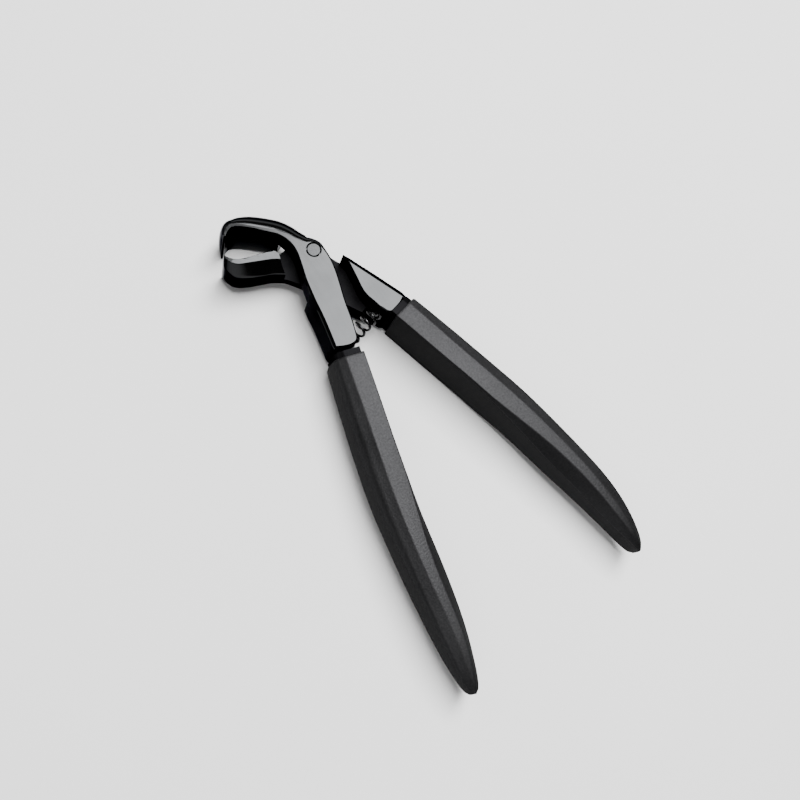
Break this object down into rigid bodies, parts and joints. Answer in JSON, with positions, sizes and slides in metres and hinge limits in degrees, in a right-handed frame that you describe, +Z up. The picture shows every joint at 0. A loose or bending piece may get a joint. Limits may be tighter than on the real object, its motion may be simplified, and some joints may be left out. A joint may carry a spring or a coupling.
{
  "type": "nail clipper",
  "caption": "Plier-type nail nipper: angled cutting jaws on a riveted lap joint, a coil return spring between the levers and tapered grips on the spread handles.",
  "frame": {"origin": "centre of the footprint, on the plane the grips' flat undersides rest on", "axes": "+Y along the handles towards the jaws, +X towards the handle on the right when the jaws point away, +Z up out of the flat face; the rivet runs along Z"},
  "size_m": [0.0574, 0.1216, 0.014],
  "materials": {
    "black_steel": "polished, dark",
    "spring_steel": "drawn wire, dark",
    "grip": "fine matte texture"
  },
  "bodies": {
    "rear_handle": {"rear_lever": "black_steel", "pivot_rivet": "black_steel", "rear_spring_pin": "spring_steel", "return_spring": "spring_steel", "rear_grip": "grip"},
    "front_handle": {"front_lever": "black_steel", "front_spring_pin": "spring_steel", "front_grip": "grip"}
  },
  "joints": [
    {"name": "jaw_pivot", "type": "hinge", "parent": "rear_handle", "child": "front_handle", "pos_m": [-0.00295, 0.04408, 0.007], "axis": [0, 0, 1], "range_deg": [-2, 12.3], "stiffness_Nm_per_rad": 3.5, "deforming": ["return_spring"]}
  ]
}
